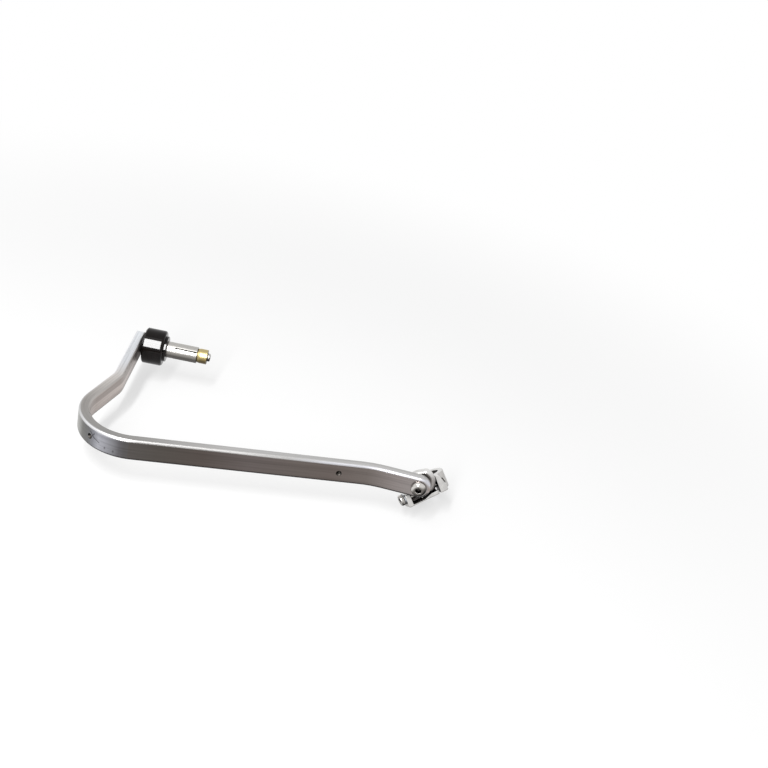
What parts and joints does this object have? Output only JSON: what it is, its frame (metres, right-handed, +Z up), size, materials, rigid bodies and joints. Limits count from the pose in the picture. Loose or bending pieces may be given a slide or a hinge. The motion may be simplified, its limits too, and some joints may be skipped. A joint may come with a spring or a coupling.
{
  "type": "motorcycle hand guard",
  "caption": "Open motorcycle hand guard: flat bar bent round the lever in one plane, with a bar end weight and expander at one end and a split handlebar clamp at the other.",
  "frame": {"origin": "on the grip axis, at the open end of the handlebar tube, where the weight's neck meets it", "axes": "+X inboard along the grip axis, +Y rearward towards the rider, +Z up; the backbone bends in the XY plane"},
  "size_m": [0.3348, 0.2068, 0.0552],
  "materials": {
    "bare_aluminium": "mill finish, brushed lengthwise, edges bright",
    "gloss_black": "gloss black",
    "stainless": "polished",
    "turned_aluminium": "turned",
    "plated_steel": "zinc plated",
    "cast_aluminium": "cast and polished"
  },
  "bodies": {
    "root": {"backbone": "bare_aluminium", "bar_end_weight": "gloss_black", "bar_end_bolt": "stainless", "bar_end_washer": "stainless", "expander_sleeve": "turned_aluminium", "cone_nut": "plated_steel", "mounting_bolt": "stainless", "clamp_front_half": "cast_aluminium", "clamp_rear_half": "cast_aluminium", "clamp_bolt_upper": "stainless", "clamp_bolt_lower": "stainless", "lock_washer_upper": "plated_steel", "lock_washer_lower": "plated_steel"}
  },
  "joints": []
}
